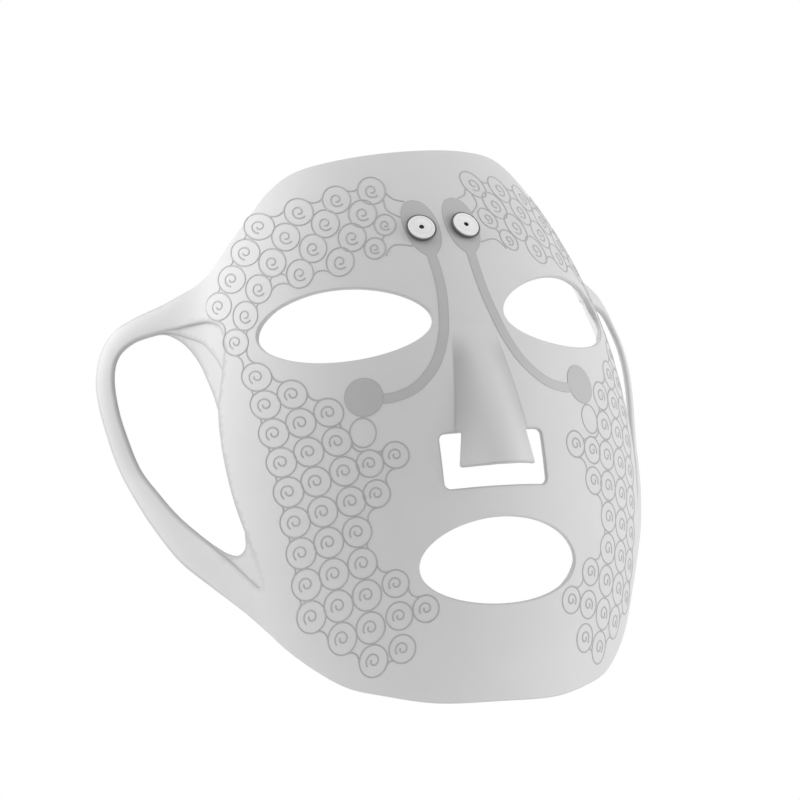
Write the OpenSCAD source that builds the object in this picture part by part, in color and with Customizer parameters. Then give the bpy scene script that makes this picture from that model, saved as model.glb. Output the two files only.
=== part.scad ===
// Silicone face mask with light emitters behind printed ring cells, forehead terminals and ear loops.
// Millimetres, +Z up, the face looks along -Y, +X is the wearer's left.
// The origin is on the head's axis, level with the widest part of the mask.

/* [Face sheet] */
// Radius of the sheet round the head at its widest level
barrel_r = 94; // [90:1:98]
// Radius of the sheet's curve from forehead to chin
profile_r = 210; // [200:5:230]
// Turn from the front at which the ear loops' flats stand
wing_turn = 60; // [58:1:62]
// Thickness of the outer skin
skin_t = 1.2; // [1.0:0.1:1.4]
// Thickness of the inner skin
liner_t = 1.3; // [1.2:0.1:1.6]
// Height of the forehead edge above the widest level
brow_z = 112; // [110:1:114]
// Depth of the chin edge below the widest level
chin_z = 110; // [108:1:112]

/* [Face openings] */
// Distance of an eye hole's centre from the middle
eye_x = 44.5; // [43.5:0.5:45.5]
// Height of the eye holes' centres
eye_z = 40.5; // [39:0.5:42]
// Width of an eye hole
eye_w = 58; // [54:1:60]
// Height of an eye hole
eye_h = 30; // [26:1:32]
// Rise of an eye hole towards the temple, in degrees
eye_tilt = 5; // [0:1:7]
// Fullness of an eye hole's outer half, as a share of its height
eye_full = 0.15; // [0:0.05:0.2]
// Height of the mouth hole's centre
mouth_z = -59; // [-61:0.5:-57]
// Width of the mouth hole
mouth_w = 67; // [60:1:68]
// Height of the mouth hole
mouth_h = 32.5; // [28:0.5:34]

/* [Nose] */
// Radius of the nose ridge's round back
nose_r = 19; // [17:0.5:20]
// Height at which the nose ridge rises out of the face
nose_top_z = 31; // [28:1:34]
// Stand of the nose tip off the face
nose_stand = 12; // [10:0.5:14]
// Width of the slotted window round the nose flap
window_w = 44; // [42:0.5:46]
// Height of the window's upper edge
window_top_z = -9; // [-10:0.5:-8]
// Height of the window's lower edge
window_low_z = -30; // [-32:0.5:-29]
// Height of the nose flap's free edge
flap_low_z = -23; // [-24:0.5:-22]
// Width of the nose flap at its root
flap_root_w = 28; // [26:0.5:30]
// Width of the nose flap at its free edge
flap_tip_w = 33; // [30:0.5:34]
// Thickness of the nose flap
flap_t = 1.6; // [1.2:0.1:2]
// Gap between the nose ridge and the flap, bridged by the thin living hinge
flap_gap = 1.6; // [1.4:0.1:2]

/* [Ear loops] */
// Thickness of an ear loop
loop_t = 2.4; // [2:0.1:2.5]
// Depth of a loop's flat behind the wing line, so that its root meets the round sheet
loop_set = 1.6; // [1.2:0.1:2]
// Distance of a loop's root past the wing line
loop_root = 19.5; // [19:0.5:21]
// Gap between the sheet and a loop's root, bridged by the thin living hinge
loop_gap = 2.5; // [2.2:0.1:3]

/* [Ring cells] */
// Size of the ring cells, as a share of the full size
ring_size = 1; // [0.8:0.05:1]
// Width of a ring's printed line
ring_line = 0.8; // [0.6:0.1:1.2]
// Thickness of the printed line
print_t = 0.2; // [0.16:0.02:0.3]
// Side of a light emitter's square body
led_w = 2.2; // [1.6:0.1:2.6]

/* [Conductors] */
// Width of a bus strip
strip_w = 4; // [3:0.5:4.5]
// Radius of the conductor patch round a terminal
patch_r = 8; // [7:0.5:8]
// Radius of a cheek pad
pad_r = 7.8; // [6.5:0.1:8]

/* [Terminals] */
// Distance of a terminal from the middle
terminal_x = 9.4; // [9:0.1:9.8]
// Height of the terminals
terminal_z = 76; // [74:0.5:78]
// Radius of a terminal disc
disc_r = 5.5; // [5:0.1:6]
// Height of a disc's face above the sheet
disc_top = 2.8; // [2.4:0.1:3.2]
// Radius of a terminal's socket
socket_r = 1; // [0.9:0.05:1.2]

/* [Hidden] */
$fn = 48;
fine_fn = 360;
left = 1;
right = -1;

// Glue line between layers, the reach of a cut past the sheet, and the turn that the uncut sheet covers
glue_t = 0.05;
past = 20;
reach = 140;
sheet_turn = 76;

// Depths below the outer face: the inner skin, its pocket, the circuit film and the emitters
liner_front = skin_t + glue_t;
liner_back = liner_front + liner_t;
film_front = liner_front + 0.03;
film_back = film_front + 0.18;
led_front = film_back + 0.05;
led_back = led_front + 0.45;
pocket_back = led_back + 0.1;
pocket_margin = 0.5;

// Half outline of the face from the front: forehead edge, then chin edge, from the middle to the ear
brow_edge = [
    [0, brow_z], [26, brow_z - 0.3], [43, brow_z - 2], [53, 104], [61, 95.5],
    [69.5, 85], [75.4, 77.6], [78, 74.8], [100, 60]
];
chin_edge = [
    [0, -chin_z], [25, 1.5 - chin_z], [45, 8 - chin_z], [58, -94.5],
    [72, -78.5], [79, -66.5], [82.5, -60.5], [100, -35]
];

// Ear side in the flat of the loop, as distance past the wing line and height: the sheet's edge, the
// levels of the roots, and the loop's outer edge and its hole
cheek_edge = [
    [12, 55], [9, 50], [9.5, 40], [13.5, 20], [14.5, 4], [13.5, -15], [12, -35], [10.5, -48], [12.5, -53]
];
root_top_z = 57.5;
root_low_z = -48;
loop_reach = 60;
loop_edge = [
    [8, 86], [20, 75.5], [37, 70.3], [52, 67.3], [61.5, 64], [67.5, 57], [70, 47], [69.5, 37],
    [67, 25], [63, 10], [57, -5.5], [51, -19], [43.5, -33.5], [33, -46.5], [22, -59.5], [8, -78.5]
];
ear_hole = [
    [0, root_top_z], [26, root_top_z], [42, 57.8], [52, 57], [59, 53], [61.3, 45], [60, 32], [57, 20],
    [53, 7], [47, -4], [40.5, -15], [33, -24], [26, -31], [20, -44], [10, -55], [0, -57]
];

// Columns of ring cells: place of the first cell, its height, the count and the full outer radius, with
// the step down a column. A place is a turn on the forehead, and a run along the sheet on the cheek.
forehead_columns = [
    [16.5, 79.8, 2, 4.2], [18, 95.5, 4, 5.4], [29.3, 94, 4, 5.4], [41.5, 92, 5, 5.4], [54.8, 90, 4, 5.4],
    [61.5, 44.4, 1, 4.9]
];
forehead_step = [4.2, -9.5];
cheek_columns = [
    [90, 28, 9, 5.7], [76.6, 17.3, 9, 5.7], [63.4, 6.8, 9, 5.4], [50.4, -16.2, 2, 5], [44, -63, 3, 4.8],
    [40, -14.6, 1, 4.8], [32.2, -74, 1, 4.8]
];
cheek_step = [-1.3, -12];

// Outlines of the circuit films from the front, on the wearer's left
forehead_film_edge = [
    [4, 71], [4, 86], [18, 99.5], [48, 97], [62, 93.5], [69, 83], [75, 72], [79.3, 61], [78.8, 55],
    [78.7, 50], [80.2, 44.5], [77.4, 40], [74.8, 46], [71.5, 52], [66, 58], [54, 61.5], [40, 63],
    [27, 66], [16, 68]
];
cheek_film_edge = [
    [70, 21.5], [72, 31.5], [78.3, 31], [79.5, 4], [78, -20], [75, -45], [70, -71], [62, -84],
    [50, -94], [36, -92], [27.5, -75], [31, -70], [39, -60], [50, -52], [52, -36], [43, -33],
    [35, -19], [35, -11], [43, -11], [43, 13], [54, 13], [61, 13], [63, 20.5]
];

// Route of a bus strip's centre line from the front, from its terminal to its cheek pad, the places of the
// pad and of the patch round the terminal, and the round of the neck between patch and strip
pad_place = [46.5, 10];
strip_route = [
    [8.4, 68], [8.4, 58], [8.8, 50], [10.2, 41], [13.2, 29.5], [19, 18.5], [28, 10.5], [38, 8], pad_place
];
patch_place = [9, 81];
neck_r = 6;

// Terminal parts, measured along the terminal's own axis from the sheet's outer face
disc_base = 0.24;
disc_chamfer = 0.5;
contact_head_r = 1.9;
contact_head_top = 0.8;
contact_stem_r = 1.2;
sleeve_r = 1.6;
sleeve_bore_r = 1.25;
washer_r = 4.6;
washer_top = -liner_back - 0.18;
washer_t = 0.37;
flange_r = 3;
flange_top = washer_top - washer_t - 0.03;
flange_t = 0.37;
rivet_hole_r = 1.7;
via_r = 1.1;

// Colours as the photo shows them
silicone_grey = [0.84, 0.84, 0.84];
print_grey = [0.66, 0.66, 0.66];
pad_grey = [0.62, 0.62, 0.62];
film_amber = [0.80, 0.52, 0.22];
emitter_white = [0.95, 0.93, 0.85];
disc_white = [0.97, 0.97, 0.97];
contact_dark = [0.12, 0.12, 0.12];
metal_grey = [0.70, 0.70, 0.72];

// Radius of the sheet's outer face round the head at a height
function radius_at(z) = barrel_r - profile_r + sqrt(profile_r * profile_r - z * z);
// Turn from the front of a point that the front view shows at x and z
function turn_at(p) = asin(p[0] / radius_at(p[1]));
// One point of the smooth curve between b and c
function bend(a, b, c, d, u) =
    0.5 * (2 * b + (c - a) * u + (2 * a - 5 * b + 4 * c - d) * u * u + (3 * b - a - 3 * c + d) * u * u * u);
// A smooth open curve through the points
function curve(p, n = 4) = let (last = len(p) - 1) [
    for (i = [0 : last - 1], k = [0 : n - 1])
        bend(p[max(i - 1, 0)], p[i], p[i + 1], p[min(i + 2, last)], k / n),
    p[last]
];
function mirrored(p) = [for (i = [len(p) - 1 : -1 : 0]) [-p[i][0], p[i][1]]];
function reversed(p) = [for (i = [len(p) - 1 : -1 : 0]) p[i]];
// An oval that is fuller towards +X
function oval(w, h, full = 0, n = 44) = [
    for (i = [0 : n - 1])
        [w * cos(360 * i / n), h * sin(360 * i / n) * (1 + full * cos(360 * i / n))] / 2
];
// The unit vector square to a route at its point i
function square_to(p, i) =
    let (d = p[min(i + 1, len(p) - 1)] - p[max(i - 1, 0)]) [-d[1], d[0]] / norm(d);
// The outline of a ribbon of width w along a route
function ribbon(p, w) = concat(
    [for (i = [0 : len(p) - 1]) p[i] + square_to(p, i) * w / 2],
    [for (i = [len(p) - 1 : -1 : 0]) p[i] - square_to(p, i) * w / 2]
);
// Turn of a point at a run along the sheet from the middle, at a height
function turn_along(run, z) = run / radius_at(z) * 180 / PI;
// Place, height and radius of every cell in a set of columns
function cells(columns, step) = [
    for (c = columns, k = [0 : c[2] - 1])
        [c[0] + k * step[0], c[1] + k * step[1], c[3] * ring_size]
];

// Draws its children on the wearer's left, or mirrored on the right
module on_side(side) {
    mirror([side == left ? 0 : 1, 0, 0]) children();
}

// Stands its children on the sheet's outer face, their +Z pointing out of the face
module on_sheet(turn, z) {
    rotate([0, 0, turn])
        translate([0, profile_r - barrel_r, 0])
            rotate([-asin(z / profile_r), 0, 0])
                translate([0, -profile_r, 0])
                    rotate([90, 0, 0])
                        children();
}

module at_terminal(side) {
    on_side(side) on_sheet(turn_at([terminal_x, terminal_z]), terminal_z) children();
}

module at_pad(side) {
    on_side(side) on_sheet(turn_at(pad_place), pad_place[1]) children();
}

// Cuts straight back from the front, with its outline drawn in x and z
module from_front() {
    rotate([90, 0, 0]) linear_extrude(reach) children();
}

// Cuts square to the loop's flat, with its outline drawn as distance past the wing line and height
module from_ear_side() {
    rotate([0, 0, wing_turn]) rotate([90, 0, 0]) linear_extrude(reach) children();
}

// Upright section of the sheet between two depths below its outer face
module section(front, back) {
    intersection() {
        translate([barrel_r - profile_r, 0]) difference() {
            circle(profile_r - front, $fn = fine_fn);
            circle(profile_r - back, $fn = fine_fn);
        }
        translate([0, -brow_z - past]) square([barrel_r + past, 2 * (brow_z + past)]);
    }
}

// The sheet's left half between two depths, uncut
module cheek(front, back) {
    rotate_extrude(angle = sheet_turn, start = -90, $fn = fine_fn) section(front, back);
}

// The whole sheet between two depths, uncut, with no nose
module barrel(front, back) {
    rotate_extrude(angle = 2 * sheet_turn, start = -90 - sheet_turn, $fn = fine_fn) section(front, back);
}

// The straight run of a loop past its root, between two depths
module wing(front, back) {
    rotate([0, 0, wing_turn])
        translate([loop_root, 0, 0])
            rotate([90, 0, 90])
                linear_extrude(loop_reach)
                    mirror([1, 0]) section(front, back);
}

// The round back of the nose ridge, as a leaning cylinder that rises out of the face
module nose_ridge(depth) {
    top_y = -radius_at(nose_top_z);
    lean_y = -radius_at(flap_low_z) - nose_stand - top_y;
    drop_z = nose_top_z - flap_low_z;
    run = norm([lean_y, drop_z]);
    tip_past = 2;
    translate([0, top_y, nose_top_z])
        rotate([asin(lean_y / run), 0, 0])
            translate([0, nose_r, -run - tip_past])
                cylinder(r = nose_r - depth, h = run + past, $fn = 96);
}

// The space behind the sheet at a depth, round the nose only
module behind_face(depth) {
    rotate_extrude(angle = wing_turn, start = -90 - wing_turn / 2, $fn = fine_fn) section(depth, barrel_r);
}

module face_outline() {
    upper = curve(brow_edge);
    lower = curve(chin_edge);
    polygon(concat(mirrored(upper), upper, reversed(lower), [for (p = lower) [-p[0], p[1]]]));
}

module nose_window() {
    corner = 2.5;
    offset(r = corner, $fn = 24)
        polygon([
            [corner - window_w / 2, window_top_z - corner], [window_w / 2 - corner, window_top_z - corner],
            [window_w / 2 - corner, window_low_z + corner], [corner - window_w / 2, window_low_z + corner]
        ]);
}

module face_openings() {
    for (side = [left, right])
        on_side(side)
            translate([eye_x, eye_z])
                rotate(eye_tilt)
                    polygon(oval(eye_w, eye_h, eye_full));
    translate([0, mouth_z])
        polygon(oval(mouth_w, mouth_h));
    nose_window();
}

// What is cut away beside the ear: all past the loop's root, and where the ear hole bites into the sheet
module cheek_cut() {
    root = loop_root - loop_gap;
    polygon(concat(
        [[reach, reach], [root, reach], [root, root_top_z]],
        curve(cheek_edge),
        [[root, root_low_z], [root, -reach], [reach, -reach]]
    ));
}

// A skin between two depths, cut to the face's outline with the nose and all openings
module skin(front, back) {
    difference() {
        intersection() {
            difference() {
                union() {
                    barrel(front, back);
                    difference() {
                        nose_ridge(front);
                        behind_face(back);
                    }
                }
                nose_ridge(back);
            }
            from_front() face_outline();
        }
        from_front() face_openings();
        for (side = [left, right]) {
            on_side(side) from_ear_side() cheek_cut();
            at_terminal(side) cylinder(r = rivet_hole_r, h = past, center = true);
        }
    }
}

module outer_skin() color(silicone_grey) difference() {
    skin(0, skin_t);
    for (side = [left, right])
        at_pad(side) cylinder(r = via_r + glue_t, h = 2 * liner_front, center = true);
}

module inner_skin() color(silicone_grey) difference() {
    skin(liner_front, liner_back);
    for (side = [left, right]) on_side(side) {
        intersection() {
            cheek(skin_t, pocket_back);
            from_front() offset(delta = pocket_margin) polygon(forehead_film_edge);
        }
        intersection() {
            cheek(skin_t, pocket_back);
            from_front() offset(delta = pocket_margin) polygon(cheek_film_edge);
        }
    }
}

// The tongue at the nose's tip, hanging from the ridge inside the slotted window
module nose_flap() color(silicone_grey) {
    root_z = window_top_z - flap_gap;
    intersection() {
        difference() {
            nose_ridge(0);
            nose_ridge(flap_t);
            behind_face(0);
        }
        from_front() polygon([
            [-flap_root_w / 2, root_z], [flap_root_w / 2, root_z],
            [flap_tip_w / 2, flap_low_z], [-flap_tip_w / 2, flap_low_z]
        ]);
    }
}

module ear_loop(side) color(silicone_grey) on_side(side) {
    intersection() {
        wing(loop_set, loop_set + loop_t);
        from_ear_side() difference() {
            polygon(curve(loop_edge));
            polygon(curve(ear_hole));
        }
    }
}

module forehead_film(side) color(film_amber) difference() {
    on_side(side) intersection() {
        cheek(film_front, film_back);
        from_front() polygon(forehead_film_edge);
    }
    at_terminal(side) cylinder(r = rivet_hole_r, h = past, center = true);
}

module cheek_film(side) color(film_amber) on_side(side) intersection() {
    cheek(film_front, film_back);
    from_front() polygon(cheek_film_edge);
}

module leds(places, side) color(emitter_white) on_side(side)
    for (p = places) on_sheet(p[0], p[1])
        translate([-led_w / 2, -led_w / 2, -led_back]) cube([led_w, led_w, led_back - led_front]);

// The ring lies flat, a hair above the highest point of the sheet under it
module rings(places, side) color(print_grey) on_side(side)
    for (p = places) on_sheet(p[0], p[1])
        translate([0, 0, glue_t]) difference() {
            cylinder(r = p[2], h = print_t);
            translate([0, 0, -print_t]) cylinder(r = p[2] - ring_line, h = 3 * print_t);
        }

module bus_strip(side) color(print_grey) difference() {
    on_side(side) intersection() {
        cheek(-print_t, -glue_t / 2);
        from_front() offset(r = -neck_r) offset(delta = neck_r) {
            polygon(ribbon(curve(strip_route), strip_w));
            hull() {
                translate(patch_place) circle(patch_r);
                translate(strip_route[0]) circle(d = strip_w);
            }
        }
    }
    at_pad(side) cylinder(r = pad_r + glue_t, h = past, center = true);
    at_terminal(side) cylinder(r = rivet_hole_r, h = past, center = true);
}

// The pad has a short stem through the outer skin that feeds the cheek film
module cheek_pad(side) color(pad_grey) {
    intersection() {
        on_side(side) cheek(-print_t, -glue_t / 2);
        at_pad(side) cylinder(r = pad_r, h = past, center = true);
    }
    at_pad(side) translate([0, 0, -skin_t]) cylinder(r = via_r, h = skin_t + print_t / 2);
}

module terminal_disc(side) color(disc_white) at_terminal(side)
    rotate_extrude($fn = 96) polygon([
        [socket_r, contact_head_top + glue_t], [contact_head_r + glue_t, contact_head_top + glue_t],
        [contact_head_r + glue_t, disc_base], [disc_r, disc_base],
        [disc_r, disc_top - disc_chamfer], [disc_r - disc_chamfer, disc_top], [socket_r, disc_top]
    ]);

module terminal_contact(side) color(contact_dark) at_terminal(side) {
    stem_low = flange_top - flange_t;
    translate([0, 0, disc_base]) cylinder(r = contact_head_r, h = contact_head_top - disc_base);
    translate([0, 0, stem_low]) cylinder(r = contact_stem_r, h = disc_base - stem_low);
}

module terminal_rivet(side) color(metal_grey) at_terminal(side) difference() {
    union() {
        translate([0, 0, flange_top]) cylinder(r = sleeve_r, h = disc_base - glue_t - flange_top);
        translate([0, 0, flange_top - flange_t]) cylinder(r = flange_r, h = flange_t);
    }
    cylinder(r = sleeve_bore_r, h = past, center = true);
}

module backing_washer(side) color(metal_grey) at_terminal(side)
    translate([0, 0, washer_top - washer_t]) difference() {
        cylinder(r = washer_r, h = washer_t);
        translate([0, 0, -washer_t]) cylinder(r = sleeve_r + glue_t, h = 3 * washer_t);
    }

forehead_cells = cells(forehead_columns, forehead_step);
cheek_cells = [for (c = cells(cheek_columns, cheek_step)) [turn_along(c[0], c[1]), c[1], c[2]]];

outer_skin();
inner_skin();
nose_flap();
ear_loop(left);  // ear_loop_left
ear_loop(right);  // ear_loop_right
forehead_film(left);  // forehead_film_left
forehead_film(right);  // forehead_film_right
cheek_film(left);  // cheek_film_left
cheek_film(right);  // cheek_film_right
leds(forehead_cells, left);  // forehead_leds_left
leds(forehead_cells, right);  // forehead_leds_right
leds(cheek_cells, left);  // cheek_leds_left
leds(cheek_cells, right);  // cheek_leds_right
rings(forehead_cells, left);  // forehead_rings_left
rings(forehead_cells, right);  // forehead_rings_right
rings(cheek_cells, left);  // cheek_rings_left
rings(cheek_cells, right);  // cheek_rings_right
bus_strip(left);  // bus_strip_left
bus_strip(right);  // bus_strip_right
cheek_pad(left);  // cheek_pad_left
cheek_pad(right);  // cheek_pad_right
terminal_disc(left);  // terminal_disc_left
terminal_disc(right);  // terminal_disc_right
terminal_contact(left);  // terminal_contact_left
terminal_contact(right);  // terminal_contact_right
terminal_rivet(left);  // terminal_rivet_left
terminal_rivet(right);  // terminal_rivet_right
backing_washer(left);  // backing_washer_left
backing_washer(right);  // backing_washer_right
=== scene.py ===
import math

import bpy
import numpy as np
from mathutils import Matrix, Vector
from mathutils.geometry import delaunay_2d_cdt
from mathutils.kdtree import KDTree


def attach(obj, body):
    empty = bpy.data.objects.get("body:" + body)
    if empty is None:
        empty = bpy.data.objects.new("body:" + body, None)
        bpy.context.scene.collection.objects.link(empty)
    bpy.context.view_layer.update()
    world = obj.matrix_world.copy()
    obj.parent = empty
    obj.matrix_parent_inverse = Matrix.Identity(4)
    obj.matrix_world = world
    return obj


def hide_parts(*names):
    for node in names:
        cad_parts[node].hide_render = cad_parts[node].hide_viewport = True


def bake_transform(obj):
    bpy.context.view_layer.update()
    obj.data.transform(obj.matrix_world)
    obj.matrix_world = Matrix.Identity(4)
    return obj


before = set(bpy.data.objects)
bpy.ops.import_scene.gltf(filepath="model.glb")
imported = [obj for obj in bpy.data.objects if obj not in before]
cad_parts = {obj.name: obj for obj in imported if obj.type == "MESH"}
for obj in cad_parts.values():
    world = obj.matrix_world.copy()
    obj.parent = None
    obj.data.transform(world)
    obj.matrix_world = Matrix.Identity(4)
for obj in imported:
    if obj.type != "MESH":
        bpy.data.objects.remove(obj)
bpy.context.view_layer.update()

# The silicone of both skins, the ear loops and the nose flap: a matte, light grey cast rubber.
# The mould leaves a fine grain on it, handling leaves faint cloudy patches of sheen, and the cut edges are
# rougher than the cast faces. Its colour darkens toward a grey as painted shade along cut edges, nose flanks,
# ear holes and nose slot.
painted_shade_grey = (0.40, 0.40, 0.40)


class Wire:
    """A node's output that takes part in Python sums: each operator adds a Math node."""

    def __init__(self, graph, socket):
        self.graph = graph
        self.socket = socket

    def sum(self, operation, *values):
        return self.graph.node("ShaderNodeMath", {"operation": operation}, list(values))["Value"]

    def __add__(self, other):
        return self.sum("ADD", self, other)

    def __sub__(self, other):
        return self.sum("SUBTRACT", self, other)

    def __rsub__(self, other):
        return self.sum("SUBTRACT", other, self)

    def __mul__(self, other):
        return self.sum("MULTIPLY", self, other)

    def __truediv__(self, other):
        return self.sum("DIVIDE", self, other)

    def __pow__(self, other):
        return self.sum("POWER", self, other)

    __radd__ = __add__
    __rmul__ = __mul__


class Graph:
    """A node tree of a material, of the world or of a modifier."""

    def __init__(self, tree):
        self.tree = tree

    def node(self, kind, settings={}, sockets={}):
        """Adds a node, sets it up, then fills or links its sockets. Gives its outputs by name."""
        made = self.tree.nodes.new(kind)
        for name, value in settings.items():
            setattr(made, name, value)
        named = enumerate(sockets) if isinstance(sockets, list) else sockets.items()
        for key, value in named:
            fits = [s for s in made.inputs if key in (s.identifier, s.name)]
            socket = made.inputs[key] if isinstance(key, int) else fits[0]
            for item in value if isinstance(value, list) else [value]:
                if isinstance(item, Wire):
                    self.tree.links.new(item.socket, socket)
                else:
                    socket.default_value = item
        return {s.identifier: Wire(self, s) for s in made.outputs} | {
            s.name: Wire(self, s) for s in made.outputs if s.enabled
        }


def new_material(name, **fixed):
    """A material with one Principled shader. Gives its graph and a call that feeds the shader."""
    material = bpy.data.materials.new(name)
    material.use_nodes = True
    material.node_tree.nodes.clear()
    graph = Graph(material.node_tree)

    def shade(**sockets):
        words = {key.replace("_", " "): value for key, value in (fixed | sockets).items()}
        shader = graph.node("ShaderNodeBsdfPrincipled", {}, words)
        graph.node("ShaderNodeOutputMaterial", {}, {"Surface": shader["BSDF"]})
        return material

    return graph, shade


def noise(graph, size, detail=2.0):
    """Even noise from 0 to 1 whose grains are about that many metres across."""
    place = graph.node("ShaderNodeTexCoord")["Object"]
    sockets = {"Vector": place, "Scale": 1 / size, "Detail": detail}
    return graph.node("ShaderNodeTexNoise", {"noise_dimensions": "3D"}, sockets)["Fac"]


def between(graph, share, first, second):
    """A colour between two greys or colours."""
    ends = [c if isinstance(c, Wire) else (*c, 1) for c in (first, second)]
    sockets = {"Factor_Float": share, "A_Color": ends[0], "B_Color": ends[1]}
    mixed = graph.node("ShaderNodeMix", {"data_type": "RGBA"}, sockets)
    return mixed["Result_Color"]


def bump(graph, height, depth, strength=0.5):
    sockets = {"Height": height, "Distance": depth, "Strength": strength}
    return graph.node("ShaderNodeBump", {}, sockets)["Normal"]


def shade_and_ink_edge_mark(graph):
    """How far a point is darkened, as its mesh says: painted shade on the silicone, a darker edge on the
    prints.
    """
    return graph.node("ShaderNodeAttribute", {"attribute_name": "cut_edge"})["Fac"]


def silicone(name, dark, light):
    graph, shade = new_material(name, IOR=1.41, Specular_IOR_Level=0.3)
    cloud = noise(graph, 0.018)
    grain = noise(graph, 0.0006, 4.0)
    # The mark darkens the colour toward a grey: painted shade.
    cut = shade_and_ink_edge_mark(graph)
    body = between(graph, 0.7 * cloud + 0.3 * grain, dark, light)
    return shade(
        Base_Color=between(graph, cut, body, painted_shade_grey),
        Roughness=0.46 + 0.16 * cloud + 0.1 * cut,
        Normal=bump(graph, grain, 0.00006, 0.35),
    )


outer_silicone = silicone("outer_silicone", (0.75, 0.75, 0.75), (0.81, 0.81, 0.81))

# The moulded front of the mask: one sheet of silicone, bent round the head like a barrel, with the nose
# standing out of it, all openings cut through, and the ear loops left as straight runs at its sides.
# A point of it is a run along the sheet from the middle, and a height. Sizes are in millimetres.
MM = 0.001
barrel_r = 94
profile_r = 210
wing_turn = math.radians(60)
wing_start = 14
loop_set = 2.6
loop_reach = 2.5
loop_lift = 6
loop_lean = 0.7
loop_far = (18, 60)
lift_z = 50
nose_top_z = 33
nose_low_z = -23
nose_stand = 12
nose_half = 13.85
nose_taper = 0.162
nose_round = 2.2
nose_fillet = 0.5
nose_past_flap = 5
skin_t = 1.2
seam_past = 17
flap_seam_z = -9.6


def smooth(share):
    share = np.clip(share, 0, 1)
    return share * share * (3 - 2 * share)


def step_over(value, first, last):
    """From 0 to 1 as the value goes from the first to the last."""
    return smooth((value - first) / (last - first))


def radius_at(z):
    return barrel_r - profile_r + np.sqrt(profile_r**2 - np.square(z))


def run_of_front(x, z):
    """Run of a point that the front view shows at x and z."""
    return barrel_r * np.arcsin(x / radius_at(z))


def run_of_wing(past, z):
    """Run of a point at a distance past the line where the loop's flat touches the barrel."""
    angle = wing_turn + np.arcsin(np.minimum(past, wing_start) / radius_at(z))
    return barrel_r * angle + np.maximum(past - wing_start, 0)


def past_of(run, z):
    """Distance of a point past that line, on either side of the face."""
    run = np.abs(run)
    edge = run_of_wing(wing_start, z)
    on_round = radius_at(z) * np.sin(np.minimum(run, edge) / barrel_r - wing_turn)
    return np.where(run > edge, wing_start + run - edge, on_round)


def nose_foot(z):
    """Half width of the nose where it leaves the face, at a height."""
    return nose_half - nose_taper * z


def nose_rise(x, z):
    """How far the nose's back stands out of the barrel. Below nothing, it isn't there."""
    crest = nose_stand * (nose_top_z - z) / (nose_top_z - nose_low_z)
    across = np.minimum(np.abs(x) / nose_foot(z), 1.5)
    there = (z > nose_low_z - nose_past_flap) & (z < nose_top_z)
    return np.where(there, crest * (1 - across**nose_round), -nose_stand)


def outer_face(run, z):
    """The outer face of the sheet at runs and heights."""
    side, run = np.sign(run), np.abs(run)
    r = radius_at(z)
    edge = run_of_wing(wing_start, z)
    turn = np.minimum(run, edge) / barrel_r
    past = wing_start + np.maximum(run - edge, 0)
    start_g = np.sqrt(r**2 - wing_start**2)
    flatten = 2 * (loop_set - r + start_g) * start_g / wing_start
    share = np.clip((past - wing_start) / flatten, 0, 1)
    far_out = step_over(past, *loop_far)
    lift = loop_lift * far_out * step_over(z, 0, lift_z)
    g = start_g - wing_start / start_g * flatten * (share - share**2 / 2) + lift
    past = past + loop_reach * far_out - loop_lean * lift
    on_flat = run > edge
    x = np.where(on_flat, math.sin(wing_turn) * g + math.cos(wing_turn) * past, r * np.sin(turn))
    y = np.where(on_flat, math.sin(wing_turn) * past - math.cos(wing_turn) * g, -r * np.cos(turn))
    rise = nose_rise(x, z)
    share = np.clip(0.5 + 0.5 * rise / nose_fillet, 0, 1)
    y = y - rise * share - nose_fillet * share * (1 - share)
    return np.stack([side * x, y, z], axis=-1)


def facing(run, z, step=0.04):
    """Directions that point straight out of the outer face."""
    across = outer_face(run + step, z) - outer_face(run - step, z)
    up = outer_face(run, z + step) - outer_face(run, z - step)
    out = np.cross(across, up)
    return out / np.linalg.norm(out, axis=-1, keepdims=True)


def lay(points, depth):
    """Places of points (run, z) at a depth below the outer face, negative above it."""
    run, z = points[:, 0], points[:, 1]
    return outer_face(run, z) - facing(run, z) * np.reshape(depth, (-1, 1))


def curve(points, closed=False, steps=12):
    """A smooth curve through the points."""
    p = np.array(points, float)
    last = len(p) - 1
    share = np.linspace(0, 1, steps, endpoint=False)[:, None]
    bends = []
    for i in range(len(p) if closed else last):
        near = [i - 1, i, i + 1, i + 2]
        a, b, c, d = (p[k % len(p)] if closed else p[min(max(k, 0), last)] for k in near)
        cubic = (3 * b - a - 3 * c + d) * share**3 + (2 * a - 5 * b + 4 * c - d) * share**2
        bends.append(0.5 * (2 * b + (c - a) * share + cubic))
    return np.concatenate(bends + ([] if closed else [p[-1:]]))


def evenly(points, gap, closed=True):
    """The same line with points at even gaps."""
    p = np.concatenate([points, points[:1]]) if closed else np.asarray(points, float)
    run = np.concatenate([[0], np.cumsum(np.linalg.norm(np.diff(p, axis=0), axis=1))])
    count = max(int(round(run[-1] / gap)), 3)
    places = np.linspace(0, run[-1], count + 1)[: count if closed else count + 1]
    return np.stack([np.interp(places, run, p[:, k]) for k in (0, 1)], axis=1)


def rounded(corners, steps=6):
    """A closed outline whose corners (x, z, radius) are rounded."""
    line = []
    for i, (x, z, r) in enumerate(corners):
        p = np.array([x, z], float)
        before = np.array(corners[i - 1][:2]) - p
        after = np.array(corners[(i + 1) % len(corners)][:2]) - p
        before, after = before / np.linalg.norm(before), after / np.linalg.norm(after)
        half = math.acos(np.clip(before @ after, -1, 1)) / 2
        centre = p + (before + after) / np.linalg.norm(before + after) * r / math.sin(half)
        first = p + before * r / math.tan(half) - centre
        last = p + after * r / math.tan(half) - centre
        for share in np.linspace(0, 1, steps):
            spoke = first + (last - first) * share
            line.append(centre + spoke / np.linalg.norm(spoke) * r)
    return np.array(line)


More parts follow.
